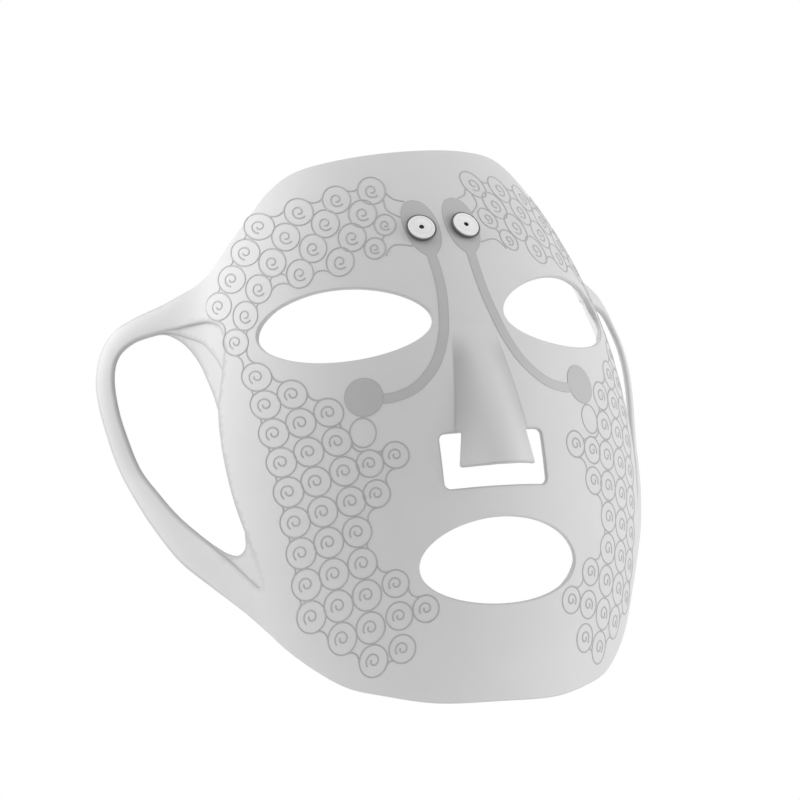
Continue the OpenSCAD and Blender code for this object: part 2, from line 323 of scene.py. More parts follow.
def oval(x, z, w, h, tilt=0, full=0, count=72):
    """An oval opening seen from the front. It may be fuller at its outer end."""
    a = np.linspace(0, 2 * math.pi, count, endpoint=False)
    flat = np.stack([w / 2 * np.cos(a), h / 2 * np.sin(a) * (1 + full * np.cos(a))])
    c, s = math.cos(math.radians(tilt)), math.sin(math.radians(tilt))
    return np.array([x, z]) + (np.array([[c, -s], [s, c]]) @ flat).T


def on_sheet(front_line):
    """An outline drawn from the front, as runs and heights."""
    p = np.asarray(front_line, float)
    return np.stack([run_of_front(p[:, 0], p[:, 1]), p[:, 1]], axis=1)


def on_wing(side_line):
    """An outline drawn square to the loop's flat, as runs and heights."""
    p = np.asarray(side_line, float)
    return np.stack([run_of_wing(p[:, 0], p[:, 1]), p[:, 1]], axis=1)


def mirrored(line):
    return np.asarray(line) * [-1, 1]


def turned(line, outer):
    """The outline with its material on the left hand."""
    ahead = np.roll(line, -1, axis=0)
    area = np.sum(line[:, 0] * ahead[:, 1] - ahead[:, 0] * line[:, 1])
    return line if (area > 0) == outer else line[::-1]


def inset(line, distance):
    """The outline moved into its material."""
    along = np.roll(line, -1, axis=0) - np.roll(line, 1, axis=0)
    along /= np.linalg.norm(along, axis=1, keepdims=True)
    return line + np.stack([-along[:, 1], along[:, 0]], axis=1) * np.reshape(distance, (-1, 1))


def inside(points, lines):
    """Which points lie within the outlines, where an outline within another is a hole."""
    x, z = points[:, 0], points[:, 1]
    within = np.zeros(len(points), bool)
    for line in lines:
        for (ax, az), (bx, bz) in zip(line, np.roll(line, -1, axis=0)):
            if az != bz:
                within ^= ((az > z) != (bz > z)) & (x < ax + (bx - ax) * (z - az) / (bz - az))
    return within


def tree_of(points):
    tree = KDTree(len(points))
    for i, p in enumerate(points):
        tree.insert((p[0], p[1], 0), i)
    tree.balance()
    return tree


def edge_distance(points, lines):
    """Distance of points from the nearest outline."""
    spots = np.concatenate(lines)
    behind = np.concatenate([np.roll(line, 1, axis=0) for line in lines])
    ahead = np.concatenate([np.roll(line, -1, axis=0) for line in lines])
    tree = tree_of(spots)
    near = np.array([tree.find((p[0], p[1], 0))[1] for p in points])
    least = np.full(len(points), np.inf)
    for a, b in ((behind[near], spots[near]), (spots[near], ahead[near])):
        span = b - a
        share = np.clip(np.sum((points - a) * span, 1) / np.sum(span * span, 1), 0, 1)
        least = np.minimum(least, np.linalg.norm(points - a - span * share[:, None], axis=1))
    return least


def hex_grid(low, high, gap):
    """Points on a grid of equal triangles."""
    rows = np.arange(low[1], high[1], gap * math.sqrt(3) / 2)
    columns = np.arange(low[0], high[0], gap)
    return np.array([(x + gap / 2 * (k % 2), z) for k, z in enumerate(rows) for x in columns])


def even_rim(width):
    """A rim of the same width along every outline."""
    return lambda line: np.full(len(line), width)


RIM_STEPS = (0, 0.134, 0.5, 1, 1.5)
FILL_CLEAR = 0.45
NOSE_CLEAR = 0.4
NOSE_REACH = 24
LINE_GAP = 0.8


def cut_sheet(lines, rim, gap, seams=(), close=(), line_gap=LINE_GAP):
    """Cuts a sheet along outlines into triangles, with close rows of points along its rims.
    Gives its points, its triangles and each point's distance from the cut edge."""
    lines = [turned(evenly(line, line_gap), i == 0) for i, line in enumerate(lines)]
    closed_rows = [inset(line, share * rim(line)) for line in lines for share in RIM_STEPS]
    points, edges = [], []
    for row, is_closed in [(r, True) for r in closed_rows] + [(r, False) for r in seams]:
        first = sum(len(p) for p in points)
        count = len(row)
        edges += [(first + i, first + (i + 1) % count) for i in range(count - (not is_closed))]
        points.append(row)
    low, high = lines[0].min(0), lines[0].max(0)
    grid = hex_grid(low, high, gap)
    kept_off = tree_of(np.concatenate(points))
    for box_low, box_high, close_gap in close:
        within = np.all((grid > box_low) & (grid < box_high), axis=1)
        grid = np.concatenate([grid[~within], hex_grid(box_low, box_high, close_gap)])
    clear = np.array([kept_off.find((x, z, 0))[2] for x, z in grid])
    by_nose = (clear > NOSE_CLEAR) & (np.abs(grid[:, 0]) < NOSE_REACH)
    fill = grid[(clear > FILL_CLEAR * gap) | by_nose]
    points = np.concatenate(points + [fill[inside(fill, lines)]])
    found = delaunay_2d_cdt([Vector(p) for p in points], edges, [], 0, 1e-6)
    points = np.array([tuple(p) for p in found[0]])
    triangles = np.array(found[2])
    triangles = triangles[inside(points[triangles].mean(1), lines)]
    a, b, c = (points[triangles[:, k]] for k in range(3))
    area = (b[:, 0] - a[:, 0]) * (c[:, 1] - a[:, 1]) - (c[:, 0] - a[:, 0]) * (b[:, 1] - a[:, 1])
    triangles[area < 0] = triangles[area < 0][:, ::-1]
    return points, triangles[np.abs(area) > 1e-9], edge_distance(points, lines)


def rolled(distance, rim):
    """Depth of a rounded rim at a distance from the cut edge."""
    short = np.clip(rim - distance, 0, rim)
    return rim - np.sqrt(np.maximum(rim**2 - short**2, 0))


def add_piece(name, places, faces, material, sharp=50):
    """A mesh object from places in millimetres."""
    mesh = bpy.data.meshes.new(name)
    mesh.from_pydata((np.asarray(places) * MM).tolist(), [], faces)
    mesh.shade_smooth()
    mesh.set_sharp_from_angle(angle=math.radians(sharp))
    mesh.materials.append(material)
    piece = bpy.data.objects.new(name, mesh)
    bpy.context.scene.collection.objects.link(piece)
    return piece


def add_sheet(name, points, triangles, front, back, material, cut=None, sharp=50):
    """A closed sheet between two depths: its front, its back and the walls along its edges.
    Marks how far each point is darkened, from 0 to 1: painted shade on the silicone, a darker edge on the
    prints."""
    used, triangles = np.unique(triangles, return_inverse=True)
    triangles = triangles.reshape(-1, 3)
    count = len(used)
    places = np.concatenate([lay(points[used], front[used]), lay(points[used], back[used])])
    sides = {(int(t[k]), int(t[k - 2])) for t in triangles for k in range(3)}
    walls = [(b, a, a + count, b + count) for a, b in sorted(sides) if (b, a) not in sides]
    faces = triangles.tolist() + (triangles[:, ::-1] + count).tolist() + walls
    piece = add_piece(name, places, faces, material, sharp)
    if cut is not None:
        marks = np.tile(cut[used], 2).astype(np.float32)
        piece.data.attributes.new("cut_edge", "FLOAT", "POINT").data.foreach_set("value", marks)
    return piece


def near_cut(edge, rim, most=0.25):
    """How dark an edge's mark is at a distance from it: painted shade on the silicone, a darker edge on a
    print.
    """
    return most * (1 - smooth(edge / rim - 0.5))


brow_line = [(0, 112), (26, 111.7), (43, 110), (53, 104), (61, 95.5)]
chin_line = [(0, -110), (25, -108.5), (45, -102), (58, -94.5)]
loop_line = [
    (8, 86), (20, 75.5), (37, 70.3), (52, 67.3), (61.5, 64), (67.5, 57), (70, 47), (69.5, 37),
    (67, 25), (63, 10), (57, -5.5), (51, -19), (43.5, -33.5), (33, -46.5), (22, -59.5), (8, -78.5)
]
ear_line = [
    (26, 57.8), (42, 57.9), (52, 57), (59, 53), (61.3, 45), (60, 32), (57, 20), (53, 7), (47, -4),
    (40.5, -15), (33, -25), (26, -33.5), (19, -42.5), (14, -49.5), (11.5, -52), (10, -50.5), (10.2, -40),
    (11.7, -28), (13.5, -15), (14.5, 4), (13.7, 20), (10.3, 33), (8.5, 42), (8.6, 48), (10.2, 52.3),
    (13.2, 54.9), (18, 56.9)
]
half_line = np.concatenate([on_sheet(brow_line), on_wing(loop_line), on_sheet(chin_line[::-1])])
outer_line = curve(np.concatenate([half_line, mirrored(half_line)[-2:0:-1]]), closed=True)
ear_hole = curve(on_wing(ear_line), closed=True)
eye_hole = on_sheet(oval(44.5, 40.5, 58, 30, tilt=5, full=0.15))
mouth_hole = on_sheet(oval(0, -59, 67, 32.5))
slot_line = [
    (14, -9, 0.8), (16.5, -23, 0.7), (13.5, -23.8, 12), (8.5, -24.7, 20), (0, -25.2, 60),
    (-8.5, -24.7, 20), (-13.5, -23.8, 12), (-16.5, -23, 0.7), (-14, -9, 0.8),
    (-22, -9, 2.2), (-22, -30.7, 2.5), (22, -30.7, 2.5), (22, -9, 2.2)
]
nose_slot = on_sheet(rounded(slot_line))
face_lines = [
    outer_line, eye_hole, mirrored(eye_hole), mouth_hole, nose_slot, ear_hole, mirrored(ear_hole)
]
slim_rim = 0.5
fuller_by = 0.6
rim_past = (20, 36)


def face_rim(points):
    """The rims are slim on the face and full on the loops."""
    return slim_rim + fuller_by * step_over(past_of(points[:, 0], points[:, 1]), *rim_past)


foot_rows = (-1.6, -0.9, -0.45, -0.15, 0.15, 0.45, 0.9, 1.6)
foot_z = np.arange(-12, 31, 0.7)
seams = []
for side in (1, -1):
    for off in foot_rows:
        seams.append(on_sheet(np.stack([side * (nose_foot(foot_z) + off), foot_z], 1)))
flap_seam_run = np.linspace(-17, 17, 40)
seams.append(np.stack([flap_seam_run, np.full(len(flap_seam_run), flap_seam_z)], 1))
root_heights = ((50, 88), (-76, -38))
seam_gap = 1.1
for low_z, high_z in root_heights:
    seam_z = np.arange(low_z, high_z, seam_gap)
    seam = on_wing(np.stack([np.full(len(seam_z), seam_past), seam_z], 1))
    seams += [seam, mirrored(seam)]
face_gap = 1.9
fine_line = 0.6
nose_box = ((-NOSE_REACH, -33), (NOSE_REACH, 38), LINE_GAP)
points, triangles, edge = cut_sheet(face_lines, face_rim, face_gap, seams, [nose_box])
rim = face_rim(points)
crown = 1.3
crown_half = 5
crown_past = (24, 40)
point_past = past_of(points[:, 0], points[:, 1])
on_loop = step_over(point_past, *crown_past)
crowned = crown * on_loop * rolled(np.minimum(edge, crown_half), crown_half) / crown_half
front_depth = np.maximum(rolled(edge, rim), crowned)
# Painted shade: the silicone darkens toward grey on the nose's flanks, less near the top and the flap.
flank_shade = 0.55
flank_share = (0.15, 1)
flank_end = 1.05
flank_fade_top = 14
flank_fade_low = 25
flap_low_z = -25
flap_half = 18
ear_shade = 0.55
ear_shade_reach = 0.9
ear_shade_z = (-50, -30)
slot_shade = 0.5
slot_shade_reach = 0.6
rim_shade = 0.25
faded = 0.4
point_x = radius_at(points[:, 1]) * np.sin(points[:, 0] / barrel_r)
flank = np.abs(point_x) / nose_foot(points[:, 1])
on_nose = (flank < flank_end) & (points[:, 1] > flap_low_z - 1) & (points[:, 1] < nose_top_z)
flank_painted_shade = flank_shade * step_over(flank, *flank_share)
flank_painted_shade *= step_over(points[:, 1], nose_top_z, nose_top_z - flank_fade_top)
flank_painted_shade *= faded + (1 - faded) * step_over(points[:, 1], nose_low_z, nose_low_z + flank_fade_low)
# Painted shade near the ear holes' edges, fading lower down.
ear_lines = [evenly(line, LINE_GAP) for line in (ear_hole, mirrored(ear_hole))]
ear_fade = faded + (1 - faded) * step_over(points[:, 1], *ear_shade_z)
ear_painted_shade = near_cut(edge_distance(points, ear_lines), ear_shade_reach, ear_shade) * ear_fade
# Painted shade along the nose slot's edges.
slot_gap = edge_distance(points, [evenly(nose_slot, LINE_GAP)])
slot_painted_shade = near_cut(slot_gap, slot_shade_reach, slot_shade)
# Painted shade along every cut edge, stronger on the loops.
rim_painted_shade = near_cut(edge, rim, rim_shade * (1 + on_loop))
painted_shade_mark = np.maximum.reduce([rim_painted_shade, np.where(on_nose, flank_painted_shade, 0), ear_painted_shade, slot_painted_shade])
middle = points[triangles].mean(1)
middle_past = past_of(middle[:, 0], middle[:, 1])
in_loop = middle_past > seam_past
in_flap = (np.abs(middle[:, 0]) < flap_half) & (middle[:, 1] < flap_seam_z) & (middle[:, 1] > flap_low_z)
on_face = ~in_loop & ~in_flap
face_triangles = triangles[on_face]
face = add_sheet(
    "face_sheet", points, face_triangles, front_depth, np.full(len(points), skin_t), outer_silicone,
    painted_shade_mark
)
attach(face, "mask")
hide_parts("outer_skin")

# The nose flap: a tongue of the same sheet, cut free by the slot so that the nose has room.
# It hangs from the nose ridge.
flap_t = 1.6
flap_back_round = 0.6
flap = add_sheet(
    "nose_tongue", points, triangles[in_flap], front_depth, flap_t - flap_back_round * front_depth,
    outer_silicone, painted_shade_mark
)
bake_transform(flap)
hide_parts("nose_flap")

# The ear loops: broad bands of both skins, cast together, that go round the ears.
# They leave the cheek at two roots and have full round rims.
sheet_t = 2.55
sides = {"left": 1, "right": -1}


for word, side in sides.items():
    on_side = in_loop & (np.sign(middle[:, 0]) == side)
    loop = add_sheet(
        f"ear_band_{word}", points, triangles[on_side], front_depth, sheet_t - rolled(edge, rim),
        outer_silicone, painted_shade_mark
    )
    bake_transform(loop)
    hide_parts(f"ear_loop_{word}")

# The lining: the inner skin that lies on the face, bonded to the outer skin along every edge.
# Its front has shallow pockets that hold the circuit films and the light emitters.
inner_silicone = silicone("inner_silicone", (0.73, 0.73, 0.73), (0.79, 0.79, 0.79))
lining_front = 1.25
lining_feather = 3.2
lining_least = 0.12
pocket_depth = 2.06
pocket_reach = 2.2
pocket_rim = 2
full_by_film = (2, 6)
full_by_loop = (4, 16)
forehead_film = [
    (4, 71), (4, 86), (18, 99.5), (48, 97), (62, 93.5), (69, 83), (75, 72), (79.3, 61), (78.8, 55),
    (78.7, 50), (80.2, 44.5), (77.4, 40), (74.8, 46), (71.5, 52), (66, 58), (54, 61.5), (40, 63),
    (27, 66), (16, 68)
]
cheek_film = [
    (70, 21.5), (72, 31.5), (78.3, 31), (79.5, 4), (78, -20), (75, -45), (70, -71), (62, -84),
    (50, -94), (36, -92), (27.5, -75), (31, -70), (39, -60), (50, -52), (52, -36), (43, -33),
    (35, -19), (35, -11), (43, -11), (43, 13), (54, 13), (61, 13), (63, 20.5)
]
film_lines = [on_sheet(film) for film in (forehead_film, cheek_film)]
film_lines = [evenly(line, 0.5) for line in film_lines + [mirrored(line) for line in film_lines]]
film_gap = np.where(inside(points, film_lines), 0, edge_distance(points, film_lines))
over_film = (film_gap < pocket_reach) & (edge > pocket_rim)
thinned = step_over(film_gap, *full_by_film) * (1 - step_over(point_past, *full_by_loop))
feather = (sheet_t - lining_front - lining_least) * (1 - smooth(edge / lining_feather)) * thinned
# The lining's edges darken toward grey as painted shade.
lining = add_sheet(
    "lining", points, face_triangles, np.where(over_film, pocket_depth, lining_front),
    sheet_t - np.maximum(rolled(edge, rim), feather), inner_silicone, near_cut(edge, rim)
)
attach(lining, "mask")
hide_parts("inner_skin")

# The webs: at both corners of an ear hole the lining reaches a little past the outer skin.
# They are thin flaps of the same silicone that strengthen the loop's roots, doubled at the upper corner.
web_edge_r = 0.35
web_corner = [
    (45, 58.9), (36, 58.9), (27, 58.5), (18, 57.6), (12.7, 55.6), (9.4, 52.8), (7.8, 48.5), (7.7, 42),
    (9.2, 34.5)
]
upper_web = web_corner + [
    (13, 20.5), (13.4, 16.5), (15, 21), (16.4, 26.8), (18.7, 33), (21.5, 39.8), (24.8, 45.6), (29, 51),
    (33.5, 55), (38, 57.6)
]
upper_fold = web_corner + [(10, 34.6), (13, 40), (16.6, 44.8), (20.6, 49.2), (27.6, 53.3), (36, 57.4)]
lower_web = [
    (31.5, -27.7), (26.7, -33.7), (19.6, -42.8), (14.6, -49.9), (11.6, -52.8), (9.2, -51), (9.4, -40),
    (10.9, -28.5), (11.8, -30.5), (13, -35), (15.5, -37), (19, -37.2), (23.4, -34.8), (27.4, -31)
]
web_layers = (
    ("upper_web", upper_web, 1.2, 2.4),
    ("upper_fold", upper_fold, 0.8, 1.17),
    ("lower_web", lower_web, 0.5, 1.1),
)
# The webs' edges darken toward grey as painted shade.
web_gap = 1.6
web_shade = 0.6
web_shade_reach = 1.6 * web_edge_r
for word, side in sides.items():
    for place, line, web_front, web_back in web_layers:
        web_line = curve(on_wing(line), closed=True) * [side, 1]
        cut = cut_sheet([web_line], even_rim(web_edge_r), web_gap, line_gap=fine_line)
        half_round = rolled(cut[2], web_edge_r) / 2
        web = add_sheet(
            f"{place}_{word}", cut[0], cut[1], web_front + half_round, web_back - half_round,
            inner_silicone, near_cut(cut[2], web_shade_reach, web_shade)
        )
        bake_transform(web)

# The circuit films and the emitters, closed in between the skins: amber polyimide film with a faint
# copper pattern, and small square light emitters with a yellow phosphor under clear resin.
# The forehead films are cut here, square to the sheet, so that no corner stands out of its edge.
graph, shade = new_material("polyimide_film", IOR=1.6)
traces = graph.node(
    "ShaderNodeTexWave", {"wave_type": "BANDS"},
    {"Vector": graph.node("ShaderNodeTexCoord")["Object"], "Scale": 160.0, "Distortion": 2.0},
)["Fac"]
film_finish = shade(
    Base_Color=between(graph, traces, (0.45, 0.20, 0.04), (0.62, 0.34, 0.10)),
    Roughness=0.25 + 0.15 * noise(graph, 0.004),
    Normal=bump(graph, traces, 0.00003),
)
graph, shade = new_material("emitter_resin", IOR=1.5)
phosphor = noise(graph, 0.0008)
emitter_finish = shade(
    Base_Color=between(graph, phosphor, (0.85, 0.78, 0.45), (0.93, 0.90, 0.72)),
    Roughness=0.2 + 0.2 * phosphor,
    Normal=bump(graph, phosphor, 0.00004),
)


def dress(node_name, material):
    """Gives a CAD node that stays in view a finished material."""
    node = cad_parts[node_name]
    for holder in node.material_slots:
        holder.material = material
    if not node.material_slots:
        node.data.materials.append(material)


film_front = 1.28
film_back = 1.46
terminal_place = (9.4, 76)
rivet_hole = oval(*on_sheet([terminal_place])[0], 4.1, 3.2, count=24)
film_edge = 0.15
film_spacing = 2.5
for word, side in sides.items():
    film_outline = [on_sheet(forehead_film) * [side, 1], rivet_hole * [side, 1]]
    cut = cut_sheet(film_outline, even_rim(film_edge), film_spacing)
    film = add_sheet(
        f"forehead_circuit_{word}", cut[0], cut[1], np.full(len(cut[0]), film_front),
        np.full(len(cut[0]), film_back), film_finish
    )
    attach(film, "mask")
    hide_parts(f"forehead_film_{word}")
    dress(f"cheek_film_{word}", film_finish)
    for zone in ("forehead", "cheek"):
        dress(f"{zone}_leds_{word}", emitter_finish)

# The bus strips: dark conductor ink with a clear cover coat, printed from a patch round each terminal
# past the nose to the cheek. The patch is a long oval that narrows to an even strip.
ink_edge = (0.30, 0.30, 0.30)


def conductor_ink(name, dark, light):
    graph, shade = new_material(name, IOR=1.45)
    mottle = noise(graph, 0.006)
    flecks = noise(graph, 0.0005, 3.0)
    body = between(graph, 0.5 * mottle + 0.5 * flecks, dark, light)
    return shade(
        Base_Color=between(graph, shade_and_ink_edge_mark(graph), body, ink_edge),
        Roughness=0.38 + 0.18 * mottle,
        Normal=bump(graph, flecks, 0.00005, 0.3),
    )


strip_ink = conductor_ink("strip_ink", (0.54, 0.54, 0.54), (0.60, 0.60, 0.60))
strip_top = -0.16
print_sunk = 0.12
print_edge = 0.4
print_round = 0.12
print_gap = 1.4
patch_half = 7.3
patch_length = 24.6
patch_fullness = 0.45
neck_soft = 2.5
strip_half = 2
pad_place = (46.5, 10)
strip_route = [
    (8.6, 89.4), (8.6, 77), (8.5, 66), (8.4, 58), (8.8, 50), (10.2, 41), (13.2, 29.5), (19, 18.5),
    (28, 10.5), (38, 8), pad_place
]
strip_line = evenly(curve(strip_route), LINE_GAP, closed=False)
strip_steps = np.linalg.norm(np.diff(strip_line, axis=0), axis=1)
strip_run = np.concatenate([[0], np.cumsum(strip_steps)])
along_patch = np.clip(2 * strip_run / patch_length - 1, -1, 1)
half_patch = patch_half * (1 - along_patch**2) ** patch_fullness
half_strip = strip_half * np.where(strip_run < patch_length / 2, along_patch + 1, 1)
neck = np.clip(1 - np.abs(half_patch - half_strip) / neck_soft, 0, 1) * (strip_run > patch_length / 2)
half_width = np.maximum(half_patch, half_strip) + neck**2 * neck_soft / 4
strip_along = np.gradient(strip_line, axis=0)
strip_across = np.stack([strip_along[:, 1], -strip_along[:, 0]], 1)
strip_across /= np.linalg.norm(strip_across, axis=1, keepdims=True)
edge_a = strip_line + strip_across * half_width[:, None]
edge_b = strip_line - strip_across * half_width[:, None]
strip_outline = on_sheet(np.concatenate([edge_a, edge_b[:0:-1]]))


def add_print(name, outline, top, ink):
    """A thin print with a soft edge, sunk a little into the sheet."""
    cut = cut_sheet([outline], even_rim(print_edge), print_gap, line_gap=fine_line)
    return add_sheet(
        name, cut[0], cut[1], top + rolled(cut[2], print_round), np.full(len(cut[0]), print_sunk), ink,
        near_cut(cut[2], print_edge)
    )


for word, side in sides.items():
    strip = add_print(f"conductor_{word}", strip_outline * [side, 1], strip_top, strip_ink)
    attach(strip, "mask")
    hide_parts(f"bus_strip_{word}")

# The cheek pads: round pads of thicker, darker ink where the strips end.
pad_ink = conductor_ink("pad_ink", (0.52, 0.52, 0.52), (0.58, 0.58, 0.58))
pad_r = 7.8
pad_top = -0.22
pad_middle = on_sheet([pad_place])[0]
pad_outline = oval(pad_middle[0], pad_middle[1], 2 * pad_r, 2 * pad_r)
for word, side in sides.items():
    pad = add_print(f"pad_{word}", pad_outline * [side, 1], pad_top, pad_ink)
    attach(pad, "mask")
    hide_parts(f"cheek_pad_{word}")

# The ring cells: each is a printed ring with a curl of the same line in it, and the rings of a field touch.
# The lines are a raised grey ink. Small bows round off the corners along a field's border.
ring_ink = conductor_ink("ring_ink", (0.47, 0.47, 0.47), (0.53, 0.53, 0.53))
line_r = 0.48
line_sunk = 0.26
least_bow_r = 2.2
bow_growth = 0.65
bow_off = 0.6
close_span = 11.6
line_sides = 6
ring_points = 36
curl_points = 18
curl_turns = 1.2
curl_start = 0.14
curl_end = 0.54
forehead_columns = [
    (16.5, 79.8, 2, 4.9, 3.9, -54), (18, 95.5, 4, 6.5, 5.1, -55), (29.3, 94, 4, 6.4, 5.2, -58),
    (41.5, 92, 5, 6.3, 5.6, -58), (54.8, 90, 4, 6.6, 6.0, 0), (61.5, 44.4, 1, 6.0, 5.5, 18)
]
forehead_step = (4.2, -9.5)
cheek_columns = [
    (90, 28, 9, 6.8, 5.7, 24), (76.6, 17.3, 9, 6.4, 5.6, 32), (63.4, 6.8, 9, 6.1, 5.5, 38),
    (50.4, -16.2, 2, 5.5, 5.2, 45), (44, -63, 3, 5.5, 4.9, 35), (40, -14.6, 1, 5.4, 5.1, 45),
    (32.2, -74, 1, 5.3, 4.8, 35)
]
cheek_step = (-1.3, -12)


def wrapped(graph, flat, sunk, side):
    """A point drawn flat as run and height, laid round the barrel at a depth by the tree's own sums."""
    drawn = graph.node("ShaderNodeSeparateXYZ", {}, [flat])
    run, z = drawn["X"], drawn["Y"]
    tilt = z / (profile_r * MM)
    upright = (1 - tilt * tilt) ** 0.5
    r = upright * (profile_r * MM) - (profile_r - barrel_r) * MM
    turn = run / r
    level = r - sunk * upright
    sine, cosine = turn.sum("SINE", turn), turn.sum("COSINE", turn)
    place = [side * level * sine, -1 * level * cosine, z - sunk * tilt]
    return graph.node("ShaderNodeCombineXYZ", {}, place)["Vector"]


def tree_inputs(tree, **sockets):
    """Names a tree's inputs, and gives each one's identifier for the modifier."""
    for name in ("INPUT", "OUTPUT"):
        tree.interface.new_socket("Geometry", in_out=name, socket_type="NodeSocketGeometry")
    identifiers = {}
    for name, kind in sockets.items():
        socket = tree.interface.new_socket(name, in_out="INPUT", socket_type=kind)
        identifiers[name] = socket.identifier
    return identifiers


cell_tree = bpy.data.node_groups.new("printed_cells", "GeometryNodeTree")
cell_sockets = tree_inputs(
    cell_tree, Line="NodeSocketFloat", Sunk="NodeSocketFloat", Side="NodeSocketFloat", Curl="NodeSocketFloat"
)
graph = Graph(cell_tree)
given = graph.node("NodeGroupInput")
ring = graph.node(
    "GeometryNodeCurvePrimitiveCircle", {"mode": "RADIUS"}, {"Resolution": ring_points, "Radius": 1.0}
)["Curve"]
curl = graph.node(
    "GeometryNodeCurveSpiral", {},
    {
        "Resolution": curl_points, "Rotations": curl_turns, "Height": 0.0,
        "Start Radius": curl_start, "End Radius": given["Curl"],
    },
)["Curve"]
cell = graph.node("GeometryNodeJoinGeometry", {}, {"Geometry": [ring, curl]})["Geometry"]


def attribute(graph, name, kind):
    """A value that the mesh carries for each cell."""
    return graph.node("GeometryNodeInputNamedAttribute", {"data_type": kind}, {"Name": name})["Attribute"]


cell_tilt = graph.node("FunctionNodeEulerToRotation", {}, [attribute(graph, "tilt", "FLOAT_VECTOR")])
stood = graph.node(
    "GeometryNodeInstanceOnPoints", {},
    {
        "Points": given["Geometry"], "Instance": cell,
        "Selection": attribute(graph, "is_cell", "BOOLEAN"),
        "Rotation": cell_tilt["Rotation"],
        "Scale": attribute(graph, "half", "FLOAT_VECTOR"),
    },
)["Instances"]
bows = graph.node("GeometryNodeMeshToCurve", {}, {"Mesh": given["Geometry"]})["Curve"]
drawn = graph.node(
    "GeometryNodeJoinGeometry", {},
    {"Geometry": [graph.node("GeometryNodeRealizeInstances", {}, {"Geometry": stood})["Geometry"], bows]},
)["Geometry"]
spot = graph.node("GeometryNodeInputPosition")["Position"]
laid = graph.node(
    "GeometryNodeSetPosition", {},
    {"Geometry": drawn, "Position": wrapped(graph, spot, given["Sunk"], given["Side"])},
)["Geometry"]
section = graph.node(
    "GeometryNodeCurvePrimitiveCircle", {"mode": "RADIUS"},
    {"Resolution": line_sides, "Radius": given["Line"]},
)["Curve"]
swept = graph.node(
    "GeometryNodeCurveToMesh", {}, {"Curve": laid, "Profile Curve": section, "Fill Caps": True}
)["Mesh"]
whole = graph.node("GeometryNodeRealizeInstances", {}, {"Geometry": swept})["Geometry"]
inked = graph.node("GeometryNodeSetMaterial", {}, {"Geometry": whole, "Material": ring_ink})["Geometry"]
graph.node("NodeGroupOutput", {}, {"Geometry": inked})


def made_by(tree, name, mesh, values):
    """Runs a tree on a mesh once, and gives the result as a plain mesh object."""
    start = bpy.data.objects.new(f"{name}_start", mesh)
    bpy.context.scene.collection.objects.link(start)
    modifier = start.modifiers.new(tree.name, "NODES")
    modifier.node_group = tree
    for identifier, value in values.items():
        modifier[identifier] = value
    result = start.evaluated_get(bpy.context.evaluated_depsgraph_get())
    piece = bpy.data.objects.new(name, bpy.data.meshes.new_from_object(result))
    piece.data.name = name
    bpy.data.objects.remove(start)
    bpy.context.scene.collection.objects.link(piece)
    piece.data.shade_smooth()
    return piece


def cells_of(columns, step):
    """Place, height, half length, half width and tilt of each cell, down each column by its step."""
    return [(c[0] + k * step[0], c[1] + k * step[1], *c[3:]) for c in columns for k in range(c[2])]


def ring_line(cell, count=180):
    """The middle of a cell's printed ring."""
    return oval(*cell[:2], 2 * cell[2], 2 * cell[3], cell[4], count=count)


def clear_of(spot, line):
    """How far a spot is from a line."""
    return np.min(np.linalg.norm(line - spot, axis=1))


def bow_between(first, second, hand, bow_r, tries=40):
    """A small arc that touches two rings from outside, on one hand of them. Gives it and its centre."""
    a, b = np.mean(first, 0), np.mean(second, 0)
    span = np.linalg.norm(b - a)
    across = hand * np.array([a[1] - b[1], b[0] - a[0]]) / span
    centre = (a + b) / 2 + across * bow_off * span
    for _ in range(tries):
        for line in (first, second):
            near = line[np.argmin(np.linalg.norm(line - centre, axis=1))]
            away = (centre - near) / np.linalg.norm(centre - near)
            centre = near + away * bow_r
    ends = [line[np.argmin(np.linalg.norm(line - centre, axis=1))] - centre for line in (first, second)]
    spokes = ends[0] + (ends[1] - ends[0]) * np.linspace(0, 1, 11)[:, None]
    return centre + spokes / np.linalg.norm(spokes, axis=1, keepdims=True) * bow_r, centre


def bows_between(cells, widest=19, clear=2.4):
    """The bows along a field's border: between neighbours, where no third ring is near."""
    lines = [ring_line(cell) for cell in cells]
    bows = []
    for i, first in enumerate(lines):
        for k, second in enumerate(lines[:i]):
            span = math.dist(cells[i][:2], cells[k][:2])
            if span > widest:
                continue
            bow_r = max(least_bow_r, bow_growth * (span - close_span) + 1)
            for hand in (1, -1):
                bow, centre = bow_between(first, second, hand, bow_r)
                apart = [clear_of(centre, line) for n, line in enumerate(lines) if n not in (i, k)]
                if min(apart + [np.inf]) > bow_r + clear and not inside(centre[None], lines)[0]:
                    bows.append(bow)
    return bows


def cell_mesh(name, cells, lines):
    """Loose points for the cells, with their sizes and tilts, and edges for the other printed lines."""
    spots = [cell[:2] for cell in cells]
    edges = []
    for line in lines:
        edges += [(len(spots) + i, len(spots) + i + 1) for i in range(len(line) - 1)]
        spots += [tuple(p) for p in line]
    mesh = bpy.data.meshes.new(name)
    mesh.from_pydata([(x * MM, z * MM, 0) for x, z in spots], edges, [])
    half, tilt = np.ones((len(spots), 3)) * MM, np.zeros((len(spots), 3))
    half[: len(cells), :2] = [(cell[2] * MM, cell[3] * MM) for cell in cells]
    tilt[: len(cells), 2] = [math.radians(cell[4]) for cell in cells]
    is_cell = np.arange(len(spots)) < len(cells)
    mesh.attributes.new("is_cell", "BOOLEAN", "POINT").data.foreach_set("value", is_cell)
    mesh.attributes.new("half", "FLOAT_VECTOR", "POINT").data.foreach_set("vector", half.ravel())
    mesh.attributes.new("tilt", "FLOAT_VECTOR", "POINT").data.foreach_set("vector", tilt.ravel())
    return mesh


